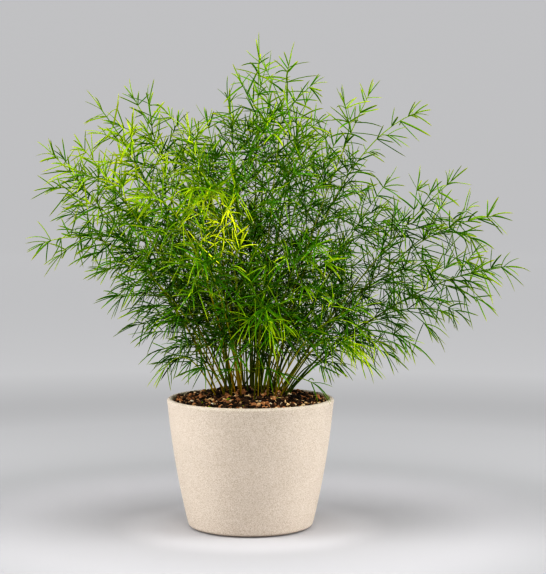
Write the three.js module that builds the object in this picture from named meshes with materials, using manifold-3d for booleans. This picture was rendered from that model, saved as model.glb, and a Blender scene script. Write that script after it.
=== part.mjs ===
// Potted sprengeri fern: a tapered pot, its potting soil, and leafy stems that fan out of the soil.
// Millimetres, +Z up. The origin is the middle of the pot's underside, and the front of the plant faces -Y.
import * as THREE from "three";
import { mergeVertices } from "three/addons/utils/BufferGeometryUtils.js";
import Module from "manifold-3d";

const wasm = await Module();
wasm.setup();

// Pot
const POT_HEIGHT = 116.5;
const RIM_RADIUS = 75;
const TAPER = 9.8; // how far the wall draws in evenly from the rim to the foot
const BELLY = 9.6; // how much further it draws in, more and more towards the foot
const WALL = 5.5;
const FLOOR = 7;
const RIM_ROUND = 2.4;
const FOOT_ROUND = 4.5;
const POT_SIDES = 44;

// Soil
const GAP = 0.3; // clearance between pieces that touch
const SOIL_EDGE = 111.5; // height of the soil at the pot's wall
const MOUND = 12; // how much higher it is heaped in the middle
const CRUMB = 0.9; // relief of the crumbs
const SOIL_SIDES = 26;
const SOIL_RINGS = [10, 21, 32, 44, 57];
const HOLE_RADIUS = 1.9;
const HOLE_SIDES = 5;
const HOLE_DEPTH = 18;

// Stems, twigs and needles
const CLUMP_RADIUS = 38; // the stem feet stand inside this circle
const STEM_RADIUS = 1.15;
const STEM_TIP_RADIUS = 0.75;
const FOOT_DEPTH = 14; // length of stem below the soil
const FOOT_RISE = 1.5; // length of stem that stands upright above the soil before it leans
const BARE_SHARE = 0.12; // the lowest part of a stem carries no twigs
const CROWN_LENGTH = 30; // the end of a stem carries needles and no twigs
const TWIG_RADIUS = 0.68;
const TWIG_TIP_RADIUS = 0.5;
const TWIG_SPACING = 8;
const TWIG_STEP = 5; // one twig in this many is built
const TWIG_TURN = THREE.MathUtils.degToRad(99.5); // turn round the stem from twig to twig
const LOW_ANGLE = THREE.MathUtils.degToRad(64); // a twig's angle from its stem, low down
const HIGH_ANGLE = THREE.MathUtils.degToRad(38); // and near the tip
const TWIG_DROOP = 0.09;
const TWIG_START = 3.4; // from the middle of the stem to the twig's first ring
const WHORL_SPACING = 16.5;
const NODE_LENGTH = 2;
const NEEDLE_LENGTH = 24;
const END_NEEDLE = 20;
const NEEDLE_ANGLES = [60, 36].map(THREE.MathUtils.degToRad); // the rear needle on a side stands out further
const NEEDLE_SPREAD = THREE.MathUtils.degToRad(27); // between a needle and the middle of the side it grows on
const SPACING = 0.7; // least clearance between needles, twigs and stems
const NEEDLE_RADIUS = 0.5;
const NEEDLE_CLEAR = 1.5; // the root of a needle may be this near its neighbours
const SIDES = 3;
const SIDE_TURN = (2 * Math.PI) / SIDES;
const SEED = 7;

// One row a stem: x, y and z of its tip, how far out and how high the bend of its arch is pulled,
// its longest twig, and how yellow it is from 0 to 1.
const STEMS = [
  // left side
  [-184, -10, 256, 0.42, 290, 45, 0.2],
  [-180, 25, 336, 0.5, 260, 50, 0.2],
  [-143, -70, 340, 0.5, 270, 60, 0.3],
  [-130, -35, 374, 0.5, 300, 55, 0.1],
  [-106, 35, 386, 0.5, 310, 60, 0.1],
  [-74, 5, 371, 0.42, 340, 45, 0.2],
  [-55, -45, 355, 0.48, 320, 45, 0.3],
  [-118, -85, 244, 0.48, 240, 38, 0.1],
  [-75, -45, 148, 0.55, 175, 30, 0.1],
  // top
  [-40, 60, 365, 0.5, 300, 60, 0.1],
  [-20, 15, 386, 0.5, 320, 55, 0.1],
  [8, 5, 422, 0.5, 330, 70, 0.1],
  [34, -20, 414, 0.5, 320, 75, 0.1],
  [52, 45, 384, 0.5, 320, 45, 0.2],
  [75, -15, 345, 0.5, 280, 60, 0],
  // right side
  [106, 5, 388, 0.46, 290, 50, 0.1],
  [150, 35, 372, 0.36, 340, 15, 0.4],
  [126, 60, 308, 0.62, 260, 34, 0.2],
  [177, -20, 311, 0.55, 250, 50, 0.1],
  [219, 15, 279, 0.5, 270, 55, 0.1],
  [229, -10, 235, 0.5, 225, 50, 0.1],
  [180, 45, 190, 0.5, 210, 42, 0],
  [140, -45, 170, 0.52, 205, 50, 0],
  [94, -85, 168, 0.6, 202, 36, 0],
  [72, -42, 150, 0.5, 162, 26, 0.1],
  // front
  [-85, -130, 300, 0.48, 300, 60, 0.7],
  [-48, -115, 306, 0.05, 320, 50, 1],
  [15, -155, 195, 0.55, 240, 55, 0.3],
  [55, -135, 260, 0.5, 260, 60, 0.2],
  [90, -115, 190, 0.55, 215, 50, 0.6],
  [-15, -95, 330, 0.5, 310, 60, 0.1],
  [40, -80, 320, 0.5, 310, 60, 0],
  [-45, -155, 250, 0.5, 250, 60, 0.2],
  // back
  [-65, 110, 335, 0.5, 300, 60, 0.1],
  [18, 90, 395, 0.5, 325, 60, 0],
  [65, 120, 345, 0.5, 300, 60, 0.1],
  [125, 120, 285, 0.5, 260, 60, 0],
  [-130, 100, 288, 0.5, 265, 60, 0.1],
  [165, 90, 230, 0.5, 230, 60, 0],
  [0, 160, 275, 0.5, 270, 60, 0.1],
  [90, 160, 220, 0.5, 240, 60, 0],
  [-85, 145, 248, 0.5, 245, 60, 0.1],
];

const UP = new THREE.Vector3(0, 0, 1);
const POT_BEIGE = 0xe3d8c8;
const SOIL_BROWN = 0x3d2b20;
const LEAF_GREEN = 0x3f7d1e;
const LEAF_YELLOW = 0xb9cf38;

// A number from 0 to 1 that is always the same for the same three counters.
function chance(a, b, c) {
  const wave = Math.sin(12.9898 * a + 78.233 * b + 37.719 * c + SEED) * 43758.5453;
  return wave - Math.floor(wave);
}

function between(low, high, share) {
  return low + (high - low) * share;
}

function solidFrom(geometry) {
  const bare = geometry.clone();
  bare.deleteAttribute("normal");
  bare.deleteAttribute("uv");
  const merged = mergeVertices(bare, 1e-4);
  return new wasm.Manifold(
    new wasm.Mesh({
      numProp: 3,
      vertProperties: new Float32Array(merged.attributes.position.array),
      triVerts: new Uint32Array(merged.index.array),
    }),
  );
}

function geometryFrom(solid) {
  const mesh = solid.getMesh();
  return new THREE.BufferGeometry()
    .setAttribute("position", new THREE.BufferAttribute(mesh.vertProperties, 3))
    .setIndex(new THREE.BufferAttribute(mesh.triVerts, 1));
}

function piece(name, geometry, material) {
  const mesh = new THREE.Mesh(geometry, material);
  mesh.name = name;
  return mesh;
}

// The pot's outer radius at a height, before its edges are rounded.
function potRadius(height) {
  const down = 1 - height / POT_HEIGHT;
  return RIM_RADIUS - TAPER * down - BELLY * down * down;
}

// A quarter circle of profile points round a centre, from one angle to another in degrees.
function corner(radius, height, round, start, end, steps) {
  return Array.from({ length: steps + 1 }, (_, i) => {
    const angle = THREE.MathUtils.degToRad(between(start, end, i / steps));
    return new THREE.Vector2(radius + round * Math.cos(angle), height + round * Math.sin(angle));
  });
}

function makePot() {
  const middle = RIM_RADIUS - WALL / 2;
  const top = POT_HEIGHT - RIM_ROUND;
  const flat = WALL / 2 - RIM_ROUND;
  const inside = [60, FLOOR + 6].map((z) => new THREE.Vector2(potRadius(z) - WALL, z));
  const profile = [
    new THREE.Vector2(0, 0),
    ...corner(potRadius(FOOT_ROUND) - FOOT_ROUND, FOOT_ROUND, FOOT_ROUND, -90, -10, 2),
    ...[30, 65].map((z) => new THREE.Vector2(potRadius(z), z)),
    ...corner(middle + flat, top, RIM_ROUND, 0, 90, 2),
    ...corner(middle - flat, top, RIM_ROUND, 90, 180, 2),
    ...inside,
    new THREE.Vector2(potRadius(FLOOR) - WALL - 5, FLOOR),
    new THREE.Vector2(0, FLOOR),
  ];
  const geometry = new THREE.LatheGeometry(profile, POT_SIDES).rotateX(Math.PI / 2);
  return piece("pot", geometry, new THREE.MeshStandardMaterial({ color: POT_BEIGE, roughness: 0.85 }));
}

// Height of the soil's surface: a low mound.
function moundHeight(x, y) {
  const out = Math.hypot(x, y) / RIM_RADIUS;
  return SOIL_EDGE + MOUND * Math.max(0, 1 - out * out) ** 1.3;
}

// The crumbs stand out of the mound and dip into it by this much.
function crumbRelief(x, y) {
  return CRUMB * (Math.sin(0.61 * x + 2.1 * Math.sin(0.37 * y)) + Math.sin(0.53 * y + 1.7 * Math.sin(0.41 * x)));
}

// The pot's inner radius at a height, measured to the middle of its flat facets, less the gap.
function soilRadius(height) {
  return (potRadius(height) - WALL) * Math.cos(Math.PI / POT_SIDES) - GAP;
}

function makeSoil(stems) {
  const bottom = FLOOR + GAP;
  const wall = [SOIL_EDGE, 60, FLOOR + 7].map((z) => new THREE.Vector2(soilRadius(z), z));
  const profile = [
    new THREE.Vector2(0, SOIL_EDGE),
    ...SOIL_RINGS.map((r) => new THREE.Vector2(r, SOIL_EDGE)),
    ...wall,
    new THREE.Vector2(soilRadius(FLOOR) - 6, bottom),
    new THREE.Vector2(0, bottom),
  ].reverse();
  const geometry = new THREE.LatheGeometry(profile, SOIL_SIDES).rotateX(Math.PI / 2);
  const places = geometry.attributes.position;
  const edge = SOIL_RINGS.at(-1) + GAP;
  for (let i = 0; i < places.count; i++) {
    const [x, y, z] = [places.getX(i), places.getY(i), places.getZ(i)];
    if (z > SOIL_EDGE - GAP && Math.hypot(x, y) < edge) {
      places.setZ(i, moundHeight(x, y) + crumbRelief(x, y));
    }
  }
  const holes = stems.map(({ foot }) => {
    const hole = new THREE.CylinderGeometry(HOLE_RADIUS, HOLE_RADIUS, 2 * HOLE_DEPTH, HOLE_SIDES);
    hole.rotateX(Math.PI / 2).translate(foot.x, foot.y, moundHeight(foot.x, foot.y));
    return solidFrom(hole);
  });
  const solid = solidFrom(geometry).subtract(wasm.Manifold.union(holes));
  return piece("soil", geometryFrom(solid), new THREE.MeshStandardMaterial({ color: SOIL_BROWN, roughness: 1 }));
}

// The space already taken by stems, twigs and needles, as straight pieces with a thickness.
const taken = [];

function take(line, radius, stalk, node) {
  taken.push({ line, radius, stalk, node });
}

// Whether a straight piece stays clear of all that is taken, apart from what it grows on.
function isClear(line, radius, isOwn) {
  return taken.every(
    (other) =>
      isOwn(other) || line.distanceSqToLine3(other.line) > (radius + other.radius + SPACING) ** 2,
  );
}

// A curve as straight pieces between distances along it.
function chords(curve, distances) {
  const length = curve.getLength();
  const points = distances.map((d) => curve.getPointAt(Math.min(1, d / length)));
  return points.slice(1).map((end, i) => new THREE.Line3(points[i], end));
}

function steps(start, end, spacing) {
  const count = Math.max(1, Math.round((end - start) / spacing));
  return Array.from({ length: count + 1 }, (_, i) => between(start, end, i / count));
}

// The needle that a stalk ends in.
function endNeedle(curve) {
  const end = curve.getPointAt(1);
  return new THREE.Line3(end, end.clone().addScaledVector(curve.getTangentAt(1), END_NEEDLE));
}

// A stem leans out to its tip in an arch. The more it leans, the nearer the clump's edge it stands.
function planStem([x, y, z, share, height, spray, yellow], number) {
  const reach = Math.hypot(x, y);
  const rise = z - moundHeight(0, 0);
  const out = (CLUMP_RADIUS * reach) / Math.hypot(reach, rise) / reach;
  const ground = new THREE.Vector3(x * out, y * out, moundHeight(x * out, y * out) + FOOT_RISE);
  const bend = new THREE.Vector3(between(ground.x, x, share), between(ground.y, y, share), height);
  const curve = new THREE.QuadraticBezierCurve3(ground, bend, new THREE.Vector3(x, y, z));
  const foot = ground.clone().addScaledVector(UP, -FOOT_DEPTH - FOOT_RISE);
  const name = "stem_" + String(number + 1).padStart(2, "0");
  const length = curve.getLength();
  [...chords(curve, steps(0, length, 20)), endNeedle(curve)].forEach((line) => take(line, STEM_RADIUS, name));
  return { name, number, curve, foot, spray, yellow, length, twigs: [] };
}

// Direction at an angle from a line, turned round it.
function leaning(along, across, turn, angle) {
  const side = across.clone().applyAxisAngle(along, turn);
  return along.clone().multiplyScalar(Math.cos(angle)).addScaledVector(side, Math.sin(angle));
}

// The part of a direction that is square to a line.
function squared(direction, along) {
  return direction.clone().addScaledVector(along, -direction.dot(along)).normalize();
}

// One in a few of the living stem's twigs, or the next one to it that has room.
function planTwigs(stem) {
  const low = stem.length * BARE_SHARE;
  const high = stem.length - CROWN_LENGTH;
  const count = Math.max(1, Math.floor((high - low) / TWIG_SPACING));
  for (let i = 1; i < count; i += TWIG_STEP) {
    const options = [i, i + 1, i - 1, i + 2].filter((k) => k < count);
    const twig = options.map((k) => planTwig(stem, k, count, low, high)).find(Boolean);
    if (!twig) continue;
    twig.lines.forEach((line) => take(line, TWIG_RADIUS, twig.name));
    stem.twigs.push(twig);
  }
}

// One twig, or nothing where it would cross another stem or twig, or dip to the soil.
function planTwig(stem, i, count, low, high) {
  const share = i / count;
  const at = between(low, high, share);
  const along = stem.curve.getTangentAt(at / stem.length);
  const across = squared(new THREE.Vector3(1, 0, 0), along);
  const angle = between(LOW_ANGLE, HIGH_ANGLE, share);
  const way = leaning(along, across, TWIG_TURN * i + stem.number, angle);
  const size = stem.spray * twigShare(share) * between(0.75, 1.1, chance(stem.number, i, 1));
  const start = stem.curve.getPointAt(at / stem.length);
  const middle = start.clone().addScaledVector(way, size / 2);
  const end = middle.clone().addScaledVector(way, size / 2).addScaledVector(UP, -TWIG_DROOP * size);
  const curve = new THREE.QuadraticBezierCurve3(start, middle, end);
  const length = curve.getLength();
  const lines = [...chords(curve, [TWIG_START, size / 2, length]), endNeedle(curve)];
  const isOwn = (other) => other.stalk === stem.name;
  const isLow = end.z < moundHeight(end.x, end.y) + NEEDLE_LENGTH;
  if (isLow || !lines.every((line) => isClear(line, TWIG_RADIUS, isOwn))) return null;
  return { name: stem.name + "_twig_" + i, at, curve, way, lines, length };
}

// Twigs are longest a third of the way up and shorter towards the foot and the tip.
function twigShare(share) {
  return share < 0.35 ? between(0.6, 1, share / 0.35) : between(1, 0.6, (share - 0.35) / 0.65);
}

// A ring of corners round a stalk, counted anticlockwise as seen from its tip.
function addRing(skin, at, along, across, radius) {
  return Array.from({ length: SIDES }, (_, i) => {
    const out = across.clone().applyAxisAngle(along, (i * 2 * Math.PI) / SIDES);
    return skin.points.push(at.clone().addScaledVector(out, radius)) - 1;
  });
}

// The two triangles of each side between two rings.
function sleeve(rear, front) {
  return rear.flatMap((a, i) => {
    const j = (i + 1) % SIDES;
    return [
      [a, rear[j], front[j]],
      [a, front[j], front[i]],
    ];
  });
}

// A triangle of the skin drawn out to a point.
function addSpike(skin, [a, b, c], tip) {
  const d = skin.points.push(tip) - 1;
  skin.faces.push([a, b, d], [b, c, d], [c, a, d]);
}

// Turns the corners of a ring by up to one side, so that a side faces a direction.
function faceSide(across, along, way) {
  const side = squared(way, along);
  const angle = Math.atan2(side.dot(along.clone().cross(across)), side.dot(across));
  const turn = (((Math.PI / SIDES - angle) % SIDE_TURN) + SIDE_TURN) % SIDE_TURN;
  return across.clone().applyAxisAngle(along, -turn);
}

// A stalk grows from three corners of the skin along a curve. At each stop it has a ring, and where the stop is a
// node, a short leafy stretch: the two triangles of each of its sides are kept open, for needles or a twig.
function growStalk(skin, rear, curve, stops, across, radii) {
  const length = curve.getLength();
  for (const { at, isBare, twig } of stops) {
    const share = Math.min(1, at / length);
    const along = curve.getTangentAt(share);
    const radius = between(radii[0], radii[1], share);
    const turn = between(0.2, 0.8, chance(skin.number, at, 2)) * SIDE_TURN;
    const even = squared(across, along);
    across = twig ? faceSide(even, along, twig.way) : even.applyAxisAngle(along, -turn);
    const middle = curve.getPointAt(share);
    const half = isBare ? 0 : NODE_LENGTH / 2;
    const front = addRing(skin, middle.clone().addScaledVector(along, -half), along, across, radius);
    skin.faces.push(...sleeve(rear, front));
    rear = front;
    if (isBare) continue;
    const next = addRing(skin, middle.clone().addScaledVector(along, half), along, across, radius);
    const name = skin.name + "_" + skin.nodes.length;
    const sides = sleeve(front, next).map((corners, i) => ({
      corners,
      turn: (Math.floor(i / 2) + 0.5) * SIDE_TURN + (i % 2 ? -NEEDLE_SPREAD : NEEDLE_SPREAD),
    }));
    skin.nodes.push({ name, stalk: skin.stalk, along, across, sides, twig });
    rear = next;
  }
  addSpike(skin, rear, endNeedle(curve).end);
}

// A twig takes one of the open triangles of its node, and the one beside it is closed.
function growTwig(skin, node) {
  const { way, curve, length, name } = node.twig;
  const facing = (side) => leaning(node.along, node.across, side.turn, Math.PI / 2).dot(way);
  const best = node.sides.reduce((a, b) => (facing(b) > facing(a) ? b : a));
  const index = node.sides.indexOf(best);
  const [first, second] = node.sides.splice(index - (index % 2), 2);
  skin.faces.push((best === first ? second : first).corners);
  const middle = best.corners.reduce((sum, i) => sum.add(skin.points[i]), new THREE.Vector3()).divideScalar(3);
  const across = squared(skin.points[best.corners[0]].clone().sub(middle), way);
  const stops = [{ at: TWIG_START, isBare: true }];
  const whorls = Math.max(1, Math.floor((length - TWIG_START) / WHORL_SPACING));
  for (let k = whorls - 1; k >= 0; k--) stops.push({ at: length - k * WHORL_SPACING });
  skin.stalk = name;
  growStalk(skin, best.corners, curve, stops, across, [TWIG_RADIUS, TWIG_TIP_RADIUS]);
}

// The skin of a stem and its twigs, with the triangles of the leafy nodes still open.
function growSkin(stem) {
  const skin = { number: stem.number, name: stem.name, stalk: stem.name, points: [], faces: [], nodes: [] };
  const start = new THREE.Vector3(1, 0, 0);
  const foot = addRing(skin, stem.foot, UP, start, STEM_RADIUS);
  skin.faces.push([foot[0], foot[2], foot[1]]);
  const ground = addRing(skin, stem.curve.getPointAt(0), UP, start, STEM_RADIUS);
  skin.faces.push(...sleeve(foot, ground));
  const first = stem.twigs[0]?.at ?? stem.length;
  const stops = [{ at: Math.min(first, stem.length) / 2, isBare: true }];
  stem.twigs.forEach((twig) => stops.push({ at: twig.at, twig }));
  const last = stem.twigs.at(-1)?.at ?? stem.length / 2;
  const crown = steps(Math.max(stem.length - CROWN_LENGTH, last + WHORL_SPACING), stem.length, WHORL_SPACING);
  crown.forEach((at) => stops.push({ at }));
  growStalk(skin, ground, stem.curve, stops, start, [STEM_RADIUS, STEM_TIP_RADIUS]);
  skin.nodes.filter((node) => node.twig).forEach((node) => growTwig(skin, node));
  return skin;
}

// Each open triangle is drawn out to a needle where there is room, and is closed flat where there is none.
function growNeedles(skin) {
  for (const node of skin.nodes) {
    const isOwn = (other) => other.stalk === node.stalk || other.node === node.name;
    node.sides.forEach(({ corners, turn }, i) => {
      const root = corners.reduce((sum, c) => sum.add(skin.points[c]), new THREE.Vector3()).divideScalar(3);
      const length = NEEDLE_LENGTH * between(0.75, 1.1, chance(corners[0], i, skin.number));
      const angle = NEEDLE_ANGLES[i % 2] * between(0.85, 1.15, chance(corners[1], i, skin.number));
      const tries = [1, 0.8, 1.25, 0.65].map((bend) => {
        const way = leaning(node.along, node.across, turn, angle * bend);
        const tip = root.clone().addScaledVector(way, length);
        return new THREE.Line3(root.clone().addScaledVector(way, NEEDLE_CLEAR), tip);
      });
      const line = tries.find((option) => isClear(option, NEEDLE_RADIUS, isOwn));
      if (!line) {
        skin.faces.push(corners);
        return;
      }
      addSpike(skin, corners, line.end);
      take(line, NEEDLE_RADIUS, null, node.name);
    });
  }
}

function makeStem(stem, skin) {
  const geometry = new THREE.BufferGeometry().setFromPoints(skin.points).setIndex(skin.faces.flat());
  const color = new THREE.Color(LEAF_GREEN).lerp(new THREE.Color(LEAF_YELLOW), stem.yellow);
  return piece(stem.name, geometry, new THREE.MeshStandardMaterial({ color, roughness: 0.55 }));
}

function makeFern() {
  const stems = STEMS.map(planStem);
  stems.forEach(planTwigs);
  const skins = stems.map(growSkin);
  skins.forEach(growNeedles);
  const fern = new THREE.Group();
  fern.name = "potted_sprengeri_fern";
  fern.add(makePot(), makeSoil(stems), ...stems.map((stem, i) => makeStem(stem, skins[i])));
  return fern;
}

export default makeFern();
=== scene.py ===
"""Gives a potted sprengeri fern its looks: the cast pot, the crumbly potting soil and the leafy stems."""

import math

import bmesh
import bpy
import numpy as np
from bpy.props import FloatProperty, FloatVectorProperty, IntProperty, PointerProperty
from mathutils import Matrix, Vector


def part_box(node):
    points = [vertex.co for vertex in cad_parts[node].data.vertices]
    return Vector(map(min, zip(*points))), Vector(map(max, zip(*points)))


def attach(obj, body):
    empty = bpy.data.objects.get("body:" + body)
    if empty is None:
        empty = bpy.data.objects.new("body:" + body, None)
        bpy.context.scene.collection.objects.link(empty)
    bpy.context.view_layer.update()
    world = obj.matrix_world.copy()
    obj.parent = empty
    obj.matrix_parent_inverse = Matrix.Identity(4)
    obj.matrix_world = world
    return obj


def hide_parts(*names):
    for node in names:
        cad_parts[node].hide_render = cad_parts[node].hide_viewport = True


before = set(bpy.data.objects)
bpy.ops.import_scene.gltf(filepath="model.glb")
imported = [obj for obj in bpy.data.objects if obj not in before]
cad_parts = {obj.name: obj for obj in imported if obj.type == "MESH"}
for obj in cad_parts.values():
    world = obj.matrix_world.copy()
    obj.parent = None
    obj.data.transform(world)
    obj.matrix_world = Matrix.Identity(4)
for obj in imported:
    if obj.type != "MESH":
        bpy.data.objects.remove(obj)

bl_info = {
    "name": "Potted Fern",
    "version": (1, 0, 0),
    "blender": (4, 5, 0),
    "location": "View3D > Sidebar > Fern",
    "description": "Dresses a potted sprengeri fern on its solid frame",
    "category": "Object",
}

MM = 0.001
COLOUR_MAP = "OFBake"  # the map that carries a piece's colours: u runs along it, v tells its tint
UP = np.array([0.0, 0.0, 1.0])
MERGE = 0.01 * MM  # corners closer than this are one corner
BLACK = (0, 0, 0)
WHITE = (1, 1, 1)
SEED = 7

# Pot and soil, in millimetres
RIM_RADIUS = 75
TAPER = 9.8  # how far the wall draws in evenly from the rim to the foot
BELLY = 9.6  # how much further it draws in, more and more towards the foot
WALL = 5.5
FLOOR = 7
RIM_ROUND = 2.4
FOOT_ROUND = 3.4
RECESS = 3  # the pot stands on a flat foot, this much inside its rounded edge
LIFT = 1.1  # and this high
SOIL_EDGE = 111.5  # height of the soil at the pot's wall
MOUND = 12  # how much higher it is heaped in the middle
MOUND_CURVE = 1.3
EDGE_PILE = 1.6  # crumbs lie this much higher against the wall
PILE_CURVE = 10  # how suddenly that pile rises

# Stems and twigs, in millimetres
CLUMP_RADIUS = 38  # the stem feet stand inside this circle
FOOT_DEPTH = 9  # length of stem below the soil
FOOT_RISE = 1.5  # its arch starts this high above the soil
BARE_SHARE = 0.12  # the lowest part of a stem carries no twigs
CROWN_LENGTH = 30  # the end of a stem carries needles and no twigs
TWIG_SPACING = 8
TWIG_TURN = math.radians(99.5)  # turn round the stem from twig to twig
LOW_ANGLE = math.radians(64)  # a twig's angle from its stem, low down
HIGH_ANGLE = math.radians(38)  # and near the tip
TWIG_DROOP = 0.09
LONGEST_AT = 0.35  # twigs are longest at this share of the way up their stem
SHORT_TWIG = 0.6  # and shortened to this share at its foot and its tip
NEEDLE_ROOM = 24  # a twig's end stays this far above the soil
ARCH_STEPS = 200  # steps in which the length of an arch is measured

# Where the foliage is thin or hangs, in millimetres
CROWN_MIDDLE = np.array([15.0, 0.0, 228.0])  # the shaded middle of the foliage
CROWN_REACH = np.array([180.0, 160.0, 135.0])  # from there to its outside, sideways, in depth and upwards
SHED_SHARE = 0.8  # share of the needles that the very middle has shed
LOW_SHED = 1.0  # and share that is shed close to the soil, at the foot of a stem:
LOW_FROM = 205.0  # it starts at this height
LOW_TO = 160.0  # and is complete at this one
HANG_STRETCH = 0.15  # needles at the low outside hang, and are this much longer
HANG_THIN = 0.35  # and this share of them is missing:
HANG_FROM = 240.0  # from this height down
HANG_TO = 160.0  # and in full at this one

# Patches of younger and yellower needles: their middle, their reach and how yellow they are.
# The last number tells how much of that also shows on the stems that aren't yellow.
PATCHES = [
    ((-26, -82, 268), 32, 1.2, 0.8),
    ((-87, -50, 343), 52, 0.28, 1.0),
    ((86, -60, 180), 26, 0.45, 1.0),
    ((20, -130, 223), 48, 0.16, 1.0),
]
PLAIN_YELLOW = 0.15  # how yellow the needles of a yellow stem are elsewhere

# One row a stem: x, y and z of its tip, how far out and how high the bend of its arch is pulled,
# its longest twig, and how yellow it is from 0 to 1.
STEMS = [
    # left side
    (-184, -10, 256, 0.42, 290, 45, 0.2),
    (-180, 25, 336, 0.5, 260, 50, 0.2),
    (-143, -70, 340, 0.5, 270, 60, 0.3),
    (-130, -35, 374, 0.5, 300, 55, 0.1),
    (-106, 35, 386, 0.5, 310, 60, 0.1),
    (-74, 5, 371, 0.42, 340, 45, 0.2),
    (-55, -45, 355, 0.48, 320, 45, 0.3),
    (-118, -85, 244, 0.48, 240, 38, 0.1),
    (-75, -45, 148, 0.55, 175, 30, 0.1),
    # top
    (-40, 60, 365, 0.5, 300, 60, 0.1),
    (-20, 15, 386, 0.5, 320, 55, 0.1),
    (8, 5, 422, 0.5, 330, 70, 0.1),
    (34, -20, 414, 0.5, 320, 75, 0.1),
    (52, 45, 384, 0.5, 320, 45, 0.2),
    (75, -15, 345, 0.5, 280, 60, 0),
    # right side
    (106, 5, 388, 0.46, 290, 50, 0.1),
    (150, 35, 372, 0.36, 340, 15, 0.4),
    (126, 60, 308, 0.62, 260, 34, 0.2),
    (177, -20, 311, 0.55, 250, 50, 0.1),
    (219, 15, 279, 0.5, 270, 55, 0.1),
    (229, -10, 235, 0.5, 225, 50, 0.1),
    (180, 45, 190, 0.5, 210, 42, 0),
    (140, -45, 170, 0.52, 205, 50, 0),
    (94, -85, 168, 0.6, 202, 36, 0),
    (72, -42, 150, 0.5, 162, 26, 0.1),
    # front
    (-85, -130, 300, 0.48, 300, 60, 0.7),
    (-48, -115, 306, 0.05, 320, 50, 1),
    (15, -155, 195, 0.55, 240, 55, 0.3),
    (55, -135, 260, 0.5, 260, 60, 0.2),
    (90, -115, 190, 0.55, 215, 50, 0.6),
    (-15, -95, 330, 0.5, 310, 60, 0.1),
    (40, -80, 320, 0.5, 310, 60, 0),
    (-45, -155, 250, 0.5, 250, 60, 0.2),
    # back
    (-65, 110, 335, 0.5, 300, 60, 0.1),
    (18, 90, 395, 0.5, 325, 60, 0),
    (65, 120, 345, 0.5, 300, 60, 0.1),
    (125, 120, 285, 0.5, 260, 60, 0),
    (-130, 100, 288, 0.5, 265, 60, 0.1),
    (165, 90, 230, 0.5, 230, 60, 0),
    (0, 160, 275, 0.5, 270, 60, 0.1),
    (90, 160, 220, 0.5, 240, 60, 0),
    (-85, 145, 248, 0.5, 245, 60, 0.1),
]

# Gaps in the foliage: their x and z, their reach, and the share of the needles that is missing there.
GAPS = [
    ((45, 383), 20, 0.55),
    ((75, 380), 18, 0.7),
    ((109, 340), 22, 0.8),
    ((58, 145), 26, 0.85),
    ((90, 135), 26, 0.9),
    ((133, 205), 20, 0.4),
    ((120, 185), 42, 0.32),
    ((12, 380), 35, 0.36),
    ((-106, 192), 24, 0.5),
    ((-80, 150), 24, 0.8),
    ((-128, 240), 18, 0.3),
]


def tone(red, green, blue):
    """A colour given in the 0 to 255 steps of a colour picker, as linear values."""
    return tuple(((c / 255 + 0.055) / 1.055) ** 2.4 for c in (red, green, blue))


def colour_property(name, description, picked):
    """A colour that a user can change."""
    return FloatVectorProperty(
        name=name, description=description, subtype="COLOR", size=3, min=0, max=1, default=tone(*picked)
    )


def length_property(name, description, size):
    """A length that a user can change."""
    return FloatProperty(name=name, description=description, unit="LENGTH", default=size)


def angle_property(name, description, degrees):
    """An angle that a user can change."""
    return FloatProperty(name=name, description=description, subtype="ANGLE", default=math.radians(degrees))


def power_property(name, description, watts):
    """A light's power that a user can change."""
    return FloatProperty(name=name, description=description, unit="POWER", default=watts)


def count_property(name, description, number, least, most):
    """A number of things that a user can change."""
    return IntProperty(name=name, description=description, default=number, min=least, max=most)


class FernPotSettings(bpy.types.PropertyGroup):
    """Sizes and colours of the pot"""

    height: length_property("Height", "From the floor to the top of the rim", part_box("pot")[1].z)
    sides: count_property("Sides", "Facets round the pot", 144, 24, 360)
    clay: colour_property("Clay", "Main colour of the cast pot", (222, 212, 201))
    grain: colour_property("Grain", "Colour of the fine sandy grain", (182, 167, 147))
    roughness: FloatProperty(
        name="Roughness", description="How matt the pot is", default=0.82, min=0, max=1, subtype="FACTOR"
    )


class FernSoilSettings(bpy.types.PropertyGroup):
    """Sizes and colours of the potting soil"""

    crumbs: count_property("Crumbs", "Loose crumbs on the surface", 4800, 0, 9000)
    crumb_size: length_property("Crumb size", "Length of a middling crumb", 2.35 * MM)
    peat: colour_property("Peat", "Colour of the dark crumbs", (88, 66, 48))
    bark: colour_property("Bark", "Colour of the bark chips", (176, 130, 92))
    wood: colour_property("Wood", "Colour of the pale wood chips", (230, 204, 160))
    grit: colour_property("Grit", "Colour of the white grit", (238, 230, 214))
    scrap: colour_property("Scraps", "Colour of the bits of fallen needle", (122, 144, 30))


class FernFoliageSettings(bpy.types.PropertyGroup):
    """Sizes and colours of the stems and needles"""

    needle_length: length_property("Needle length", "Length of a middling needle", 26 * MM)
    needle_width: length_property("Needle width", "Width of a middling needle at its widest", 1.02 * MM)
    whorl_spacing: length_property("Whorl spacing", "Distance between clusters of needles", 8.8 * MM)
    shoots: count_property("Shoots", "Slim young shoots between the stems", 34, 0, 99)
    stem_radius: length_property("Stem radius", "Radius of a stem at the soil", 0.82 * MM)
    twig_radius: length_property("Twig radius", "Radius of a twig where it leaves its stem", 0.48 * MM)
    # Besides the oldest needles, this colour paints the shade deep inside the foliage.
    deep: colour_property("Old and shaded needles", "Colour of the oldest needles and of the painted shade deep in the foliage", (4, 30, 0))
    leaf: colour_property("Needles", "Colour of grown needles", (85, 137, 4))
    fresh: colour_property("Young needles", "Colour of young needles", (184, 205, 32))
    ripe: colour_property("Needle tips", "Colour of the needles' tips", (190, 188, 44))
    lime: colour_property("Yellow needles", "Colour of the yellow sprays", (240, 248, 60))
    foot: colour_property("Stem foot", "Colour of a stem at the soil", (114, 68, 34))
    stalk: colour_property("Stem", "Colour of a stem halfway up", (84, 114, 24))
    golden: colour_property("Yellow stem", "Colour of the yellow stems", (190, 154, 46))


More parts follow.
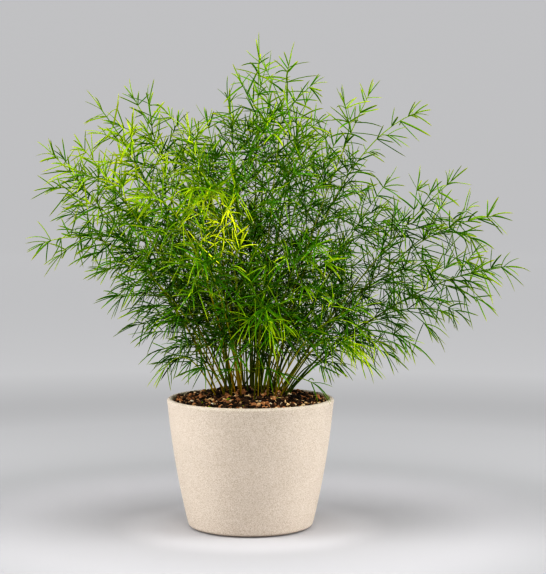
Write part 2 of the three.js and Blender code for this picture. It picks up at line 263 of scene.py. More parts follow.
class FernStudioSettings(bpy.types.PropertyGroup):
    """Camera and lights"""

    distance: length_property("Camera distance", "From the camera to the pot's axis", 1.6)
    camera_height: length_property("Camera height", "Height of the camera above the floor", 0.33)
    tilt: angle_property("Tilt", "How far the camera looks down", 4.07)
    turn: angle_property("Turn", "How far the camera looks to the right", 0.723)
    lens: FloatProperty(
        name="Lens", description="Focal length in millimetres", default=112.3, min=20, max=300
    )
    side_light: power_property("Side lights", "Power of each side light", 11.1)
    top_light: power_property("Top light", "Power of the light overhead", 13.7)
    front_light: power_property("Front light", "Power of the front light", 4.4)
    surround: FloatProperty(
        name="Surround", description="Brightness of the room", default=0.045, min=0, max=5
    )
    # The backdrop glows: painted light from the floor and wall themselves, not from a lamp.
    backdrop_glow: FloatProperty(
        name="Backdrop light", description="How brightly the backdrop is lit", default=1.03, min=0, max=2
    )
    # The floor by the pot is lighter than further off: a painted pool of light.
    floor: colour_property("Floor", "Colour of the floor by the pot", (184, 183, 185))
    backdrop: colour_property("Backdrop", "Colour of the floor and wall further off", (156, 156, 157))


def between(low, high, share):
    """The value that lies a share of the way from low to high."""
    return low + (high - low) * share


def shaded(colour, factor):
    """The same colour, darker or lighter."""
    return tuple(factor * c for c in colour)


def blended(first, second, share):
    """The colour that lies a share of the way from one to another."""
    return tuple(between(a, b, share) for a, b in zip(first, second))


def unit(vectors):
    """The same directions with a length of one."""
    return vectors / np.linalg.norm(vectors, axis=-1, keepdims=True)


def chance(a, b, c):
    """A number from 0 to 1 that is always the same for the same three counters."""
    wave = math.sin(12.9898 * a + 78.233 * b + 37.719 * c + SEED) * 43758.5453
    return wave - math.floor(wave)


def fading(distances):
    """1 in the middle of a patch and 0 outside it, with a soft edge at a distance of 1."""
    return np.exp(-(distances**4))


def patch_yellow(places, own):
    """How yellow needles are by their place, from 0 to 1, on a stem that itself is more or less yellow."""
    total = np.full(len(places), PLAIN_YELLOW * own)
    for middle, reach, strength, others in PATCHES:
        near = fading(np.linalg.norm(places - np.array(middle), axis=1) / reach)
        total = np.maximum(total, near * strength * between(others, 1, own))
    return total


def openness(places):
    """Share of the needles that is missing at places, by the gaps seen from the front."""
    total = np.zeros(len(places))
    for (x, z), reach, share in GAPS:
        near = fading(np.hypot(places[:, 0] - x, places[:, 2] - z) / reach)
        total = np.maximum(total, near * share)
    return total


def how_far_out(places):
    """Where places lie in the foliage, from 0 in its middle to 1 at its outside."""
    return np.linalg.norm((places - CROWN_MIDDLE) / CROWN_REACH, axis=1).clip(0, 1)


def lowness(places):
    """How much of the low shedding reaches places, from 0 to 1."""
    return ((LOW_FROM - places[:, 2]) / (LOW_FROM - LOW_TO)).clip(0, 1)


def hanging(places):
    """How much needles hang and are drawn out, from 0 to 1: most at the low outside of the foliage."""
    return ((HANG_FROM - places[:, 2]) / (HANG_FROM - HANG_TO)).clip(0, 1) * how_far_out(places) ** 2


def pot_radius(height, top):
    """The pot's outer radius at a height, in millimetres, before its edges are rounded."""
    down = 1 - height / top
    return RIM_RADIUS - TAPER * down - BELLY * down * down


def mound_height(x, y):
    """Height of the soil's surface, in millimetres: a low mound."""
    out = np.hypot(x, y) / RIM_RADIUS
    return SOIL_EDGE + MOUND * np.maximum(0, 1 - out * out) ** MOUND_CURVE


def deselect():
    """Leaves nothing selected."""
    bpy.ops.object.select_all(action="DESELECT")


def edit(obj, test=None):
    """Enters edit mode and selects the corners whose place passes the test, or all of them."""
    if bpy.context.mode != "EDIT_MESH":
        bpy.ops.object.mode_set(mode="EDIT")
    bpy.ops.mesh.select_mode(type="VERT")
    bm = bmesh.from_edit_mesh(obj.data)
    for vertex in bm.verts:
        vertex.select = test is None or test(vertex.co)
    bm.select_flush_mode()
    bmesh.update_edit_mesh(obj.data)


def finish_edit():
    """Leaves edit mode."""
    bpy.ops.object.mode_set(mode="OBJECT")


def apply_all(obj):
    """Applies the object's modifiers and its place, so that its place is in its mesh."""
    deselect()
    obj.select_set(True)
    bpy.context.view_layer.objects.active = obj
    for modifier in list(obj.modifiers):
        bpy.ops.object.modifier_apply(modifier=modifier.name)
    bpy.ops.object.transform_apply(location=True, rotation=True, scale=True)


def dress(obj, name, node, material):
    """Names a finished piece, gives it its material and fixes it to the frame, or in place of a node."""
    obj.name = name
    obj.data.name = name
    obj.data.materials.clear()
    obj.data.materials.append(material)
    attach(obj, "root")
    if node:
        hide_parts(node)


class NodeBench:
    """A material's nodes, added and linked by short calls."""

    def __init__(self, name):
        self.material = bpy.data.materials.new(name)
        self.material.use_nodes = True
        self.tree = self.material.node_tree
        self.shader = self.tree.nodes["Principled BSDF"]

    def add(self, kind, inputs=None, **values):
        """A new node with its settings and inputs. An input that is given another node's output is linked."""
        node = self.tree.nodes.new("ShaderNode" + kind)
        for key, value in values.items():
            setattr(node, key, value)
        for key, value in (inputs or {}).items():
            self.feed(node.inputs[key], value)
        return node

    def feed(self, socket, value):
        """Links an output to an input, or sets the input's own value."""
        if isinstance(value, bpy.types.NodeSocket):
            self.tree.links.new(value, socket)
        elif socket.type == "RGBA":
            socket.default_value = (*value, 1)
        else:
            socket.default_value = value

    def ramp(self, source, stops, smooth=False):
        """The colour of a ramp with (place, colour) stops."""
        node = self.add("ValToRGB", {"Fac": source})
        ramp = node.color_ramp
        ramp.interpolation = "EASE" if smooth else "LINEAR"
        while len(ramp.elements) < len(stops):
            ramp.elements.new(1)
        for element, (place, colour) in zip(ramp.elements, stops):
            element.position = place
            element.color = (*colour, 1)
        return node.outputs["Color"]

    def math(self, operation, first, second):
        """A sum on two values."""
        return self.add("Math", {0: first, 1: second}, operation=operation).outputs[0]

    def mix(self, share, first, second, blend="MIX"):
        """A mix of two colours."""
        node = self.add("Mix", data_type="RGBA", blend_type=blend)
        for key, value in (("Factor_Float", share), ("A_Color", first), ("B_Color", second)):
            socket = next(s for s in node.inputs if s.identifier == key)
            self.feed(socket, value)
        return next(s for s in node.outputs if s.identifier == "Result_Color")

    def colour_map(self):
        """The two values of the piece's own colour map: how far along, and the tint."""
        split = self.add("SeparateXYZ", {0: self.add("UVMap", uv_map=COLOUR_MAP).outputs["UV"]})
        return split.outputs["X"], split.outputs["Y"]

    def noise(self, source, scale, detail, roughness):
        """Even noise on a place, with details of about 1 / scale metres."""
        inputs = {"Vector": source, "Scale": scale, "Detail": detail, "Roughness": roughness}
        return self.add("TexNoise", inputs).outputs["Fac"]

    def bump(self, height, distance, strength):
        """Relief on the shader from a height."""
        node = self.add("Bump", {"Height": height, "Distance": distance, "Strength": strength})
        self.tree.links.new(node.outputs["Normal"], self.shader.inputs["Normal"])

    def finish(self, colour, roughness, sheen=0.5):
        """Gives the shader its colour, and how matt and how shiny it is."""
        self.feed(self.shader.inputs["Base Color"], colour)
        self.shader.inputs["Roughness"].default_value = roughness
        self.shader.inputs["Specular IOR Level"].default_value = sheen


def clay_material(settings):
    """Pale cast clay with a fine sandy grain, a few dark specks and faint clouds of tone."""
    bench = NodeBench("cast clay")
    place = bench.add("TexCoord").outputs["Object"]
    grain = bench.noise(place, scale=1500, detail=2, roughness=0.7)
    fleck = bench.noise(place, scale=700, detail=2, roughness=0.5)
    cloud = bench.noise(place, scale=28, detail=4, roughness=0.6)
    grained = bench.ramp(grain, [(0.4, settings.grain), (0.56, settings.clay)])
    clouds = [(0.35, shaded(settings.clay, 0.94)), (0.65, shaded(settings.clay, 1.06))]
    colour = bench.mix(0.25, grained, bench.ramp(cloud, clouds, smooth=True))
    specks = bench.ramp(fleck, [(0.27, WHITE), (0.33, BLACK)])
    colour = bench.mix(bench.math("MULTIPLY", specks, 0.4), colour, shaded(settings.grain, 0.62))
    bench.finish(colour, settings.roughness, sheen=0.35)
    relief = bench.math("ADD", grain, bench.math("MULTIPLY", cloud, 0.6))
    bench.bump(relief, distance=0.12 * MM, strength=0.6)
    return bench.material


def soil_material(settings):
    """Dark peat between the crumbs."""
    bench = NodeBench("dark peat")
    place = bench.add("TexCoord").outputs["Object"]
    lumps = bench.noise(place, scale=420, detail=4, roughness=0.6)
    dark = shaded(settings.peat, 0.35)
    brown = blended(settings.peat, settings.bark, 0.35)
    colour = bench.ramp(lumps, [(0.4, dark), (0.55, settings.peat), (0.72, brown)])
    bench.finish(colour, roughness=0.92)
    bench.bump(lumps, distance=0.8 * MM, strength=0.8)
    return bench.material


def crumb_material(name, dark, light):
    """Crumbs from dark to light: v of the colour map tells a crumb's tint, and noise roughens it."""
    bench = NodeBench(name)
    _, tint = bench.colour_map()
    place = bench.add("TexCoord").outputs["Object"]
    bench.finish(bench.ramp(tint, [(0.05, dark), (0.95, light)]), roughness=0.85)
    bench.bump(bench.noise(place, scale=900, detail=3, roughness=0.6), distance=0.35 * MM, strength=0.7)
    return bench.material


def fern_material(settings):
    """Needles and stalks by the colour map. Needles take the lower half of v and stalks the upper half."""
    bench = NodeBench("fern green")
    along, tint = bench.colour_map()
    needle_tint = bench.math("MULTIPLY", tint, 2.0)
    stalk_tint = bench.math("SUBTRACT", needle_tint, 1.0)

    # The darkest tint paints both old needles and the shade inside the foliage.
    ages = [(0.0, settings.deep), (0.36, settings.leaf), (0.68, settings.fresh), (1.0, settings.lime)]
    ripening = bench.ramp(needle_tint, [(0.04, BLACK), (0.4, WHITE)])
    at_tip = bench.ramp(along, [(0.62, BLACK), (1.0, shaded(WHITE, 0.7))])
    tipped = bench.mix(bench.math("MULTIPLY", ripening, at_tip), bench.ramp(needle_tint, ages), settings.ripe)
    dark_root = bench.ramp(along, [(0.0, shaded(WHITE, 0.72)), (0.25, WHITE)])
    blade = bench.mix(1.0, tipped, dark_root, "MULTIPLY")

    moss = blended(settings.deep, settings.stalk, 0.4)
    greens = [(0.0, settings.foot), (0.14, settings.stalk), (0.6, moss), (1.0, settings.leaf)]
    yellows = [(0.0, settings.foot), (0.16, settings.golden), (0.9, settings.fresh)]
    stalk = bench.mix(stalk_tint, bench.ramp(along, greens), bench.ramp(along, yellows))

    colour = bench.mix(bench.math("GREATER_THAN", tint, 0.5), blade, stalk)
    bench.finish(colour, roughness=0.5, sheen=0.12)
    glow = bench.add("BsdfTranslucent", {"Color": colour})
    both = bench.add("MixShader", {0: 0.08, 1: bench.shader.outputs["BSDF"], 2: glow.outputs["BSDF"]})
    bench.feed(bench.tree.nodes["Material Output"].inputs["Surface"], both.outputs["Shader"])
    return bench.material


def floor_material(settings):
    """Pale seamless floor with painted light: lighter by the pot, a painted pool of light, darkening away
    from it, and turned into an evenly lit backdrop by a painted glow.
    """
    bench = NodeBench("seamless floor")
    place = bench.add("TexCoord").outputs["Object"]
    far = bench.add("VectorMath", {0: place}, operation="LENGTH").outputs["Value"]
    # Painted light: the floor is lightest by the pot, a pool of light painted round it, and darker further
    # off.
    painted_light_tones = [
        (0.045, settings.floor),
        (0.065, shaded(settings.floor, 0.83)),
        (0.1, shaded(settings.floor, 0.83)),
        (0.18, shaded(settings.backdrop, 0.88)),
        (0.45, shaded(settings.backdrop, 0.3)),
    ]
    tone_reach, glow_reach = 2.0, 5.0  # distances from the pot at which the two ramps end
    colour = bench.ramp(bench.math("DIVIDE", far, tone_reach), painted_light_tones, smooth=True)
    bench.finish(colour, roughness=0.9, sheen=0.1)
    # Painted glow: floor and wall glow though they are no lamp. The glow is faint by the pot, where it
    # lightens the shadows, and full further off, where it lights the backdrop evenly.
    shares = ((0.0, 0.1), (0.06, 0.22), (0.13, 0.66), (0.24, 0.98), (0.9, 1.0))
    glow = [(stop, shaded(settings.backdrop, share)) for stop, share in shares]
    painted_glow = bench.ramp(bench.math("DIVIDE", far, glow_reach), glow)
    bench.feed(bench.shader.inputs["Emission Color"], painted_glow)
    bench.shader.inputs["Emission Strength"].default_value = settings.backdrop_glow
    return bench.material


def turn_outline(name, outline, sides):
    """A closed turned form from an outline of (radius, height) points that starts and ends on the axis."""
    bpy.ops.mesh.primitive_plane_add(size=MM)
    obj = bpy.context.object
    edit(obj)
    bpy.ops.mesh.merge(type="CENTER")
    bpy.ops.transform.translate(value=(outline[0][0], 0, outline[0][1]))
    for (radius, height), (next_radius, next_height) in zip(outline, outline[1:]):
        step = (next_radius - radius, 0, next_height - height)
        bpy.ops.mesh.extrude_region_move(TRANSFORM_OT_translate={"value": step})
    edit(obj)
    bpy.ops.mesh.spin(steps=sides, angle=2 * math.pi, center=(0, 0, 0), axis=(0, 0, 1))
    edit(obj)
    bpy.ops.mesh.remove_doubles(threshold=MERGE)
    bpy.ops.mesh.normals_make_consistent(inside=False)
    finish_edit()
    obj.name = name
    return obj


def arc(radius, height, round_, start, end, steps):
    """Outline points of a rounded edge, from one angle to another in degrees."""
    angles = [math.radians(between(start, end, i / steps)) for i in range(steps + 1)]
    return [(radius + round_ * math.cos(a), height + round_ * math.sin(a)) for a in angles]


class FERN_OT_cast_pot(bpy.types.Operator):
    """Turns the pot on its axis, with a rounded rim and foot"""

    bl_idname = "fern.cast_pot"
    bl_label = "Cast pot"

    # Millimetres, degrees and numbers of outline points
    FOOT_END = 10  # the plain wall starts at this height
    RIM_START = 4  # and ends this far below the rim's rounding
    CORNER = 4  # height of the bevel between the inner wall and the floor
    CORNER_WIDTH = 3
    FOOT_LEAN = 10  # how far the wall leans out by the foot
    RIM_LEAN = 4  # and by the rim
    OUTSIDE_ROWS = 20
    INSIDE_ROWS = 16
    FOOT_STEPS = 8
    RIM_STEPS = 9

    def execute(self, context):
        settings = context.scene.fern_pot
        top = settings.height / MM
        middle = RIM_RADIUS - WALL / 2
        flat = WALL / 2 - RIM_ROUND
        lip = top - RIM_ROUND
        high = lip - self.RIM_START
        low = FLOOR + self.CORNER
        outside = [(pot_radius(z, top), z) for z in np.linspace(self.FOOT_END, high, self.OUTSIDE_ROWS)]
        inside = [(pot_radius(z, top) - WALL, z) for z in np.linspace(high, low, self.INSIDE_ROWS)]
        foot = pot_radius(FOOT_ROUND, top) - FOOT_ROUND
        outline = [
            (0.0, 0.0),
            (foot - RECESS, 0.0),
            (foot - RECESS, LIFT),
            *arc(foot, FOOT_ROUND + LIFT, FOOT_ROUND, -90, -self.FOOT_LEAN, self.FOOT_STEPS),
            *outside,
            *arc(middle + flat, lip, RIM_ROUND, -self.RIM_LEAN, 90, self.RIM_STEPS),
            *arc(middle - flat, lip, RIM_ROUND, 90, 180 + self.RIM_LEAN, self.RIM_STEPS),
            *inside,
            (pot_radius(FLOOR, top) - WALL - self.CORNER_WIDTH, float(FLOOR)),
            (0.0, float(FLOOR)),
        ]
        deselect()
        pot = turn_outline("fern_pot", [(r * MM, z * MM) for r, z in outline], settings.sides)
        bpy.ops.object.shade_smooth_by_angle(angle=math.radians(40))
        dress(pot, "fern_pot", "pot", clay_material(settings))
        return {"FINISHED"}


class FERN_OT_heap_soil(bpy.types.Operator):
    """Heaps the potting soil in the pot, in a low mound"""

    bl_idname = "fern.heap_soil"
    bl_label = "Heap soil"

    RINGS = 64
    SIDES = 200
    GAP = 0.25  # millimetres between the soil and the pot
    WALL_HEIGHTS = (90, 60, 30, 13)  # heights at which the outline follows the inner wall
    CORNER_WIDTH = 4
    SMOOTH_EDGE = 3  # the lumps fade out this far from the wall
    LUMPS = 7 * MM  # size of the coarse lumps
    RELIEF = 2.6 * MM  # and their height
    FINER = 2.6  # the fine lumps are this much smaller

    def execute(self, context):
        settings = context.scene.fern_soil
        top = context.scene.fern_pot.height / MM
        edge = pot_radius(SOIL_EDGE, top) - WALL - self.GAP
        below = [(pot_radius(z, top) - WALL - self.GAP, z) for z in self.WALL_HEIGHTS]
        floor = FLOOR + self.GAP
        radii = [edge * i / self.RINGS for i in range(self.RINGS + 1)]
        mound = [(radius, float(mound_height(radius, 0))) for radius in radii]
        outline = [
            (0.0, floor),
            (pot_radius(floor, top) - WALL - self.CORNER_WIDTH, floor),
            *reversed(below),
            *reversed(mound),
        ]
        deselect()
        soil = turn_outline("fern_soil", [(r * MM, z * MM) for r, z in outline], self.SIDES)
        surface = soil.vertex_groups.new(name="surface")
        for vertex in soil.data.vertices:
            x, y, z = (c / MM for c in vertex.co)
            if z > SOIL_EDGE - 1:
                surface.add([vertex.index], min(1, (edge - math.hypot(x, y)) / self.SMOOTH_EDGE), "REPLACE")
        self.raise_lumps(soil, self.LUMPS, self.RELIEF)
        self.raise_lumps(soil, self.LUMPS / self.FINER, self.RELIEF / 2)
        apply_all(soil)
        bpy.ops.object.shade_smooth_by_angle(angle=math.radians(50))
        dress(soil, "fern_soil", "soil", soil_material(settings))
        return {"FINISHED"}

    @staticmethod
    def raise_lumps(soil, size, height):
        """Roughens the surface with rounded lumps."""
        texture = bpy.data.textures.new("lumps", "VORONOI")
        texture.noise_scale = size
        lumps = soil.modifiers.new("lumps", "DISPLACE")
        lumps.texture = texture
        lumps.texture_coords = "LOCAL"
        lumps.direction = "Z"
        lumps.vertex_group = "surface"
        lumps.strength = height


class Form:
    """The corners and triangles of a modelled shape, ready to be copied."""

    def __init__(self, obj):
        apply_all(obj)
        mesh = obj.data
        mesh.calc_loop_triangles()
        self.points = np.array([v.co for v in mesh.vertices])
        self.triangles = np.array([t.vertices for t in mesh.loop_triangles])
        bpy.data.objects.remove(obj)


class Growth:
    """Copies of modelled shapes, gathered into one mesh with its colour map."""

    def __init__(self):
        self.points, self.triangles, self.shades = [], [], []
        self.count = 0

    def add(self, form, places, along, tint):
        """Adds a copy of the form for each row of places, with its values for the colour map."""
        copies = len(places)
        offsets = self.count + np.arange(copies)[:, None, None] * len(form.points)
        self.points.append(places.reshape(-1, 3))
        self.triangles.append((form.triangles[None] + offsets).reshape(-1, 3))
        self.shades.append(np.stack([along, tint], axis=-1).reshape(-1, 2))
        self.count += copies * len(form.points)

    def build(self, name):
        """The mesh object."""
        mesh = bpy.data.meshes.new(name)
        mesh.from_pydata(np.concatenate(self.points), [], np.concatenate(self.triangles))
        shades = np.concatenate(self.shades)
        corners = np.empty(len(mesh.loops), np.int32)
        mesh.loops.foreach_get("vertex_index", corners)
        layer = mesh.uv_layers.new(name=COLOUR_MAP)
        layer.uv.foreach_set("vector", shades[corners].astype(np.float32).ravel())
        mesh.update()
        obj = bpy.data.objects.new(name, mesh)
        bpy.context.collection.objects.link(obj)
        return obj


def cut_lengthwise(obj, cuts):
    """Adds rings along a prism of length 1 that stands on +Z, by cutting its long edges."""
    edit(obj, lambda co: False)
    bpy.ops.mesh.select_mode(type="EDGE")
    bm = bmesh.from_edit_mesh(obj.data)
    for side in bm.edges:
        side.select = abs(side.verts[0].co.z - side.verts[1].co.z) > 0.5
    bm.select_flush_mode()
    bmesh.update_edit_mesh(obj.data)
    bpy.ops.mesh.subdivide(number_cuts=cuts)


def model_needle():
    """A flat needle of length 1 along +Z and width 1 along X: keeled beneath, and drawn out to a point."""
    # Place and width of each ring
    rings = [(0.0, 0.65), (0.14, 1.0), (0.38, 1.0), (0.62, 0.97), (0.85, 0.84)]
    thickness = 0.55  # beside the width
    aside = 2  # finished rings wait this much higher, clear of the others
    deselect()
    bpy.ops.mesh.primitive_cylinder_add(vertices=3, radius=0.5, depth=1)
    obj = bpy.context.object
    apply_all(obj)
    cut_lengthwise(obj, len(rings) - 1)
    for i, (place, width) in enumerate(rings):
        height = i / len(rings) - 0.5
        edit(obj, lambda co: abs(co.z - height) < 0.01)
        size = (width / math.cos(math.pi / 6), width * thickness, 1)
        bpy.ops.transform.resize(value=size, center_override=(0, 0, height))
        bpy.ops.transform.translate(value=(0, 0, place - height + aside))
    edit(obj, lambda co: co.z < 1)
    bpy.ops.transform.translate(value=(0, 0, 0.5 + aside))
    bpy.ops.mesh.merge(type="CENTER")
    edit(obj)
    bpy.ops.transform.translate(value=(0, 0, -aside))
    bpy.ops.mesh.normals_make_consistent(inside=False)
    finish_edit()
    return Form(obj)


def model_stalk(sides, rings):
    """A round stalk of radius 1 and length 1 along +Z."""
    deselect()
    bpy.ops.mesh.primitive_cylinder_add(vertices=sides, radius=1, depth=1, location=(0, 0, 0.5))
    obj = bpy.context.object
    apply_all(obj)
    cut_lengthwise(obj, rings - 1)
    finish_edit()
    return Form(obj)


def model_crumb(seed, stretch, breaks):
    """A broken crumb of radius about 1: a ball knocked out of shape, with flat breaks."""
    knock, break_depth, shortest_edge = 0.16, 0.62, 0.38
    rng = np.random.default_rng(seed)
    deselect()
    bpy.ops.mesh.primitive_ico_sphere_add(subdivisions=2, radius=1)
    obj = bpy.context.object
    edit(obj)
    bpy.ops.transform.vertex_random(offset=knock, seed=seed)
    for _ in range(breaks):
        way = unit(rng.normal(size=3))
        edit(obj)
        bpy.ops.mesh.bisect(plane_co=way * break_depth, plane_no=way, use_fill=True, clear_outer=True)
    edit(obj)
    bpy.ops.transform.resize(value=stretch, center_override=(0, 0, 0))
    bpy.ops.mesh.remove_doubles(threshold=shortest_edge)
    bpy.ops.mesh.normals_make_consistent(inside=False)
    finish_edit()
    return Form(obj)


def turns(rng, count, tilt):
    """Turned axes for things that lie about: spun any way, and tilted by up to about an angle."""
    spin = rng.uniform(0, 2 * math.pi, count)
    lean = rng.normal(0, tilt, count)
    lean_way = rng.uniform(0, 2 * math.pi, count)
    axes = np.stack([np.cos(lean_way), np.sin(lean_way), np.zeros(count)], axis=1)
    x = np.stack([np.cos(spin), np.sin(spin), np.zeros(count)], axis=1)
    y = np.stack([-np.sin(spin), np.cos(spin), np.zeros(count)], axis=1)
    z = np.tile(UP, (count, 1))
    return [swing(v, axes, lean) for v in (x, y, z)]


def swing(vectors, axes, angles):
    """Vectors turned about axes."""
    c, s = np.cos(angles)[..., None], np.sin(angles)[..., None]
    dots = np.sum(vectors * axes, axis=-1, keepdims=True)
    return vectors * c + np.cross(axes, vectors) * s + axes * dots * (1 - c)


class FERN_OT_scatter_crumbs(bpy.types.Operator):
    """Scatters peat, bark, wood chips, white grit and green scraps over the soil"""

    bl_idname = "fern.scatter_crumbs"
    bl_label = "Scatter crumbs"

    # name, share of all crumbs, size beside a middling crumb, stretch, number of breaks, tilt in radians
    KINDS = (
        ("peat_crumbs", 0.47, 1.0, (1.0, 0.85, 0.75), 2, 1.2),
        ("bark_chips", 0.25, 1.25, (1.1, 0.85, 0.55), 4, 0.9),
        ("wood_chips", 0.15, 1.05, (1.3, 0.7, 0.45), 4, 0.9),
        ("white_grit", 0.08, 0.75, (1.0, 0.9, 0.8), 1, 0.8),
        ("green_scraps", 0.05, 1.1, (1.7, 0.4, 0.26), 3, 0.4),
    )
    FORMS = 3  # forms that each kind is modelled in
    MARGIN = 0.5  # millimetres between the outermost crumbs and the pot
    SPREAD = 0.42  # of the crumbs' sizes
    SIZES = (0.45, 2.4)  # the smallest and the largest beside the middling one
    RAISED = (0.1, 0.55)  # a crumb's middle lies this share of its radius above the soil
    TINTS = (0.02, 0.98)
    TINT_CURVE = 1.3  # above 1, more crumbs are dark than light
    EDGE_SHARE = 0.85  # a crumb's middle keeps off the wall by this share of its radius
    # Each crumb has one tint, and a tiny island of this size in the map, so that none of its faces is a
    # point there.
    ISLAND = (0.01, 0.004)

    def execute(self, context):
        settings = context.scene.fern_soil
        edge = pot_radius(SOIL_EDGE, context.scene.fern_pot.height / MM) - WALL - self.MARGIN
        shades = {
            "peat_crumbs": (shaded(settings.peat, 0.08), settings.peat),
            "bark_chips": (shaded(settings.peat, 0.35), shaded(settings.bark, 1.5)),
            "wood_chips": (settings.bark, shaded(settings.wood, 1.25)),
            "white_grit": (settings.wood, settings.grit),
            "green_scraps": (settings.scrap, shaded(settings.scrap, 2)),
        }
        for kind, (name, share, size, stretch, breaks, tilt) in enumerate(self.KINDS):
            rng = np.random.default_rng(SEED + kind)
            growth = Growth()
            count = int(settings.crumbs * share / self.FORMS)
            radius = settings.crumb_size / 2 / MM * size
            forms = [model_crumb(10 * kind + i, stretch, breaks) for i in range(self.FORMS)]
            for form in forms:
                self.scatter(growth, form, rng, count, radius, tilt, edge)
            material = crumb_material(name.replace("_", " "), *shades[name])
            dress(growth.build(name), name, None, material)
        return {"FINISHED"}

    def scatter(self, growth, form, rng, count, radius, tilt, edge):
        """Lays copies of one form on the mound, each half sunk in it."""
        radii = radius * rng.lognormal(0, self.SPREAD, count).clip(*self.SIZES)
        far = (edge - radii * self.EDGE_SHARE) * np.sqrt(rng.uniform(0, 1, count))
        way = rng.uniform(0, 2 * math.pi, count)
        x, y = far * np.cos(way), far * np.sin(way)
        ground = mound_height(x, y)
        z = ground + radii * rng.uniform(*self.RAISED, count) + EDGE_PILE * (far / edge) ** PILE_CURVE
        middles = np.stack([x, y, z], axis=1) * MM
        axes = turns(rng, count, tilt)
        sized = form.points[None] * (radii * MM)[:, None, None]
        places = middles[:, None] + sum(sized[..., i : i + 1] * axes[i][:, None] for i in range(3))
        tint = rng.uniform(*self.TINTS, count)[:, None] ** self.TINT_CURVE
        wide, high = self.ISLAND
        along = np.repeat(form.points[None, :, 0] * wide + 0.5, count, axis=0)
        growth.add(form, places, along, (tint + form.points[None, :, 1] * high).clip(0, 1))


class Arch:
    """An arched line with one bend, measured by the distance along it."""

    def __init__(self, start, bend, end):
        self.start, self.bend, self.end = (np.asarray(p, float) for p in (start, bend, end))
        self.shares = np.linspace(0, 1, ARCH_STEPS + 1)
        steps = np.diff(self.places(self.shares), axis=0)
        self.distances = np.concatenate([[0], np.cumsum(np.linalg.norm(steps, axis=1))])
        self.length = self.distances[-1]
        level = np.cross(self.bend - self.start, self.end - self.start)
        self.level = unit(level) if np.linalg.norm(level) > 1e-9 else None
        self.middle = self.places(np.array([0.5]))[0]

    def places(self, shares):
        """Places at shares from 0 to 1."""
        t = shares[:, None]
        return (1 - t) ** 2 * self.start + 2 * t * (1 - t) * self.bend + t * t * self.end

    def at(self, distances):
        """Places and directions at distances from the start. Short of it the line runs straight down."""
        distances = np.atleast_1d(np.asarray(distances, float))
        t = np.interp(distances, self.distances, self.shares)
        below = np.minimum(distances, 0)[:, None] * UP
        ways = (1 - t)[:, None] * (self.bend - self.start) + t[:, None] * (self.end - self.bend)
        return self.places(t) + below, unit(ways)


def squared(direction, along):
    """The part of a direction that is square to a line."""
    return unit(direction - along * np.sum(direction * along, axis=-1, keepdims=True))


def leaning(along, across, turn, angle):
    """Directions at an angle from a line, turned round it."""
    side = swing(across, along, turn)
    return along * np.cos(angle)[..., None] + side * np.sin(angle)[..., None]


class Stem:
    """One leafy stem: its arch, and the twigs along it."""

    TWIG_SIZES = (0.75, 1.1)  # the shortest and the longest twig beside what its place gives

    def __init__(self, number, row):
        x, y, z, share, height, self.spray, self.yellow = row
        self.number = number
        rise = z - float(mound_height(0, 0))
        out = CLUMP_RADIUS / math.hypot(x, y, rise)
        ground = (x * out, y * out, float(mound_height(x * out, y * out)) + FOOT_RISE)
        bend = (between(ground[0], x, share), between(ground[1], y, share), height)
        self.arch = Arch(ground, bend, (x, y, z))
        low = self.arch.length * BARE_SHARE
        high = self.arch.length - CROWN_LENGTH
        count = max(1, int((high - low) / TWIG_SPACING))
        shares = [i / count for i in range(1, count)]
        twigs = [self.twig(i, share, between(low, high, share)) for i, share in enumerate(shares, 1)]
        self.twigs = [twig for twig in twigs if twig]

    def twig(self, i, share, at):
        """One twig, or None where it would dip to the soil."""
        (start,), (along,) = self.arch.at(at)
        across = squared(np.array([1.0, 0.0, 0.0]), along)
        turn = np.array(TWIG_TURN * i + self.number)
        way = leaning(along, across, turn, np.array(between(LOW_ANGLE, HIGH_ANGLE, share)))
        size = self.spray * twig_share(share) * between(*self.TWIG_SIZES, chance(self.number, i, 1))
        middle = start + way * size / 2
        end = middle + way * size / 2 - UP * TWIG_DROOP * size
        if end[2] < mound_height(end[0], end[1]) + NEEDLE_ROOM:
            return None
        return share, Arch(start, middle, end)


def twig_share(share):
    """How long a twig is for its place: longest a third of the way up, shorter at the foot and the tip."""
    if share < LONGEST_AT:
        return between(SHORT_TWIG, 1, share / LONGEST_AT)
    return between(1, SHORT_TWIG, (share - LONGEST_AT) / (1 - LONGEST_AT))


def needle_shade(tint, x):
    """v of the colour map for needles, in its lower half. It changes a little across a needle."""
    return (0.5 * tint + 0.003 * x).clip(0.0005, 0.4985)


def stalk_shade(yellow, x):
    """v of the colour map for stalks, in its upper half."""
    return (0.505 + 0.48 * yellow + 0.008 * x).clip(0.503, 0.997)


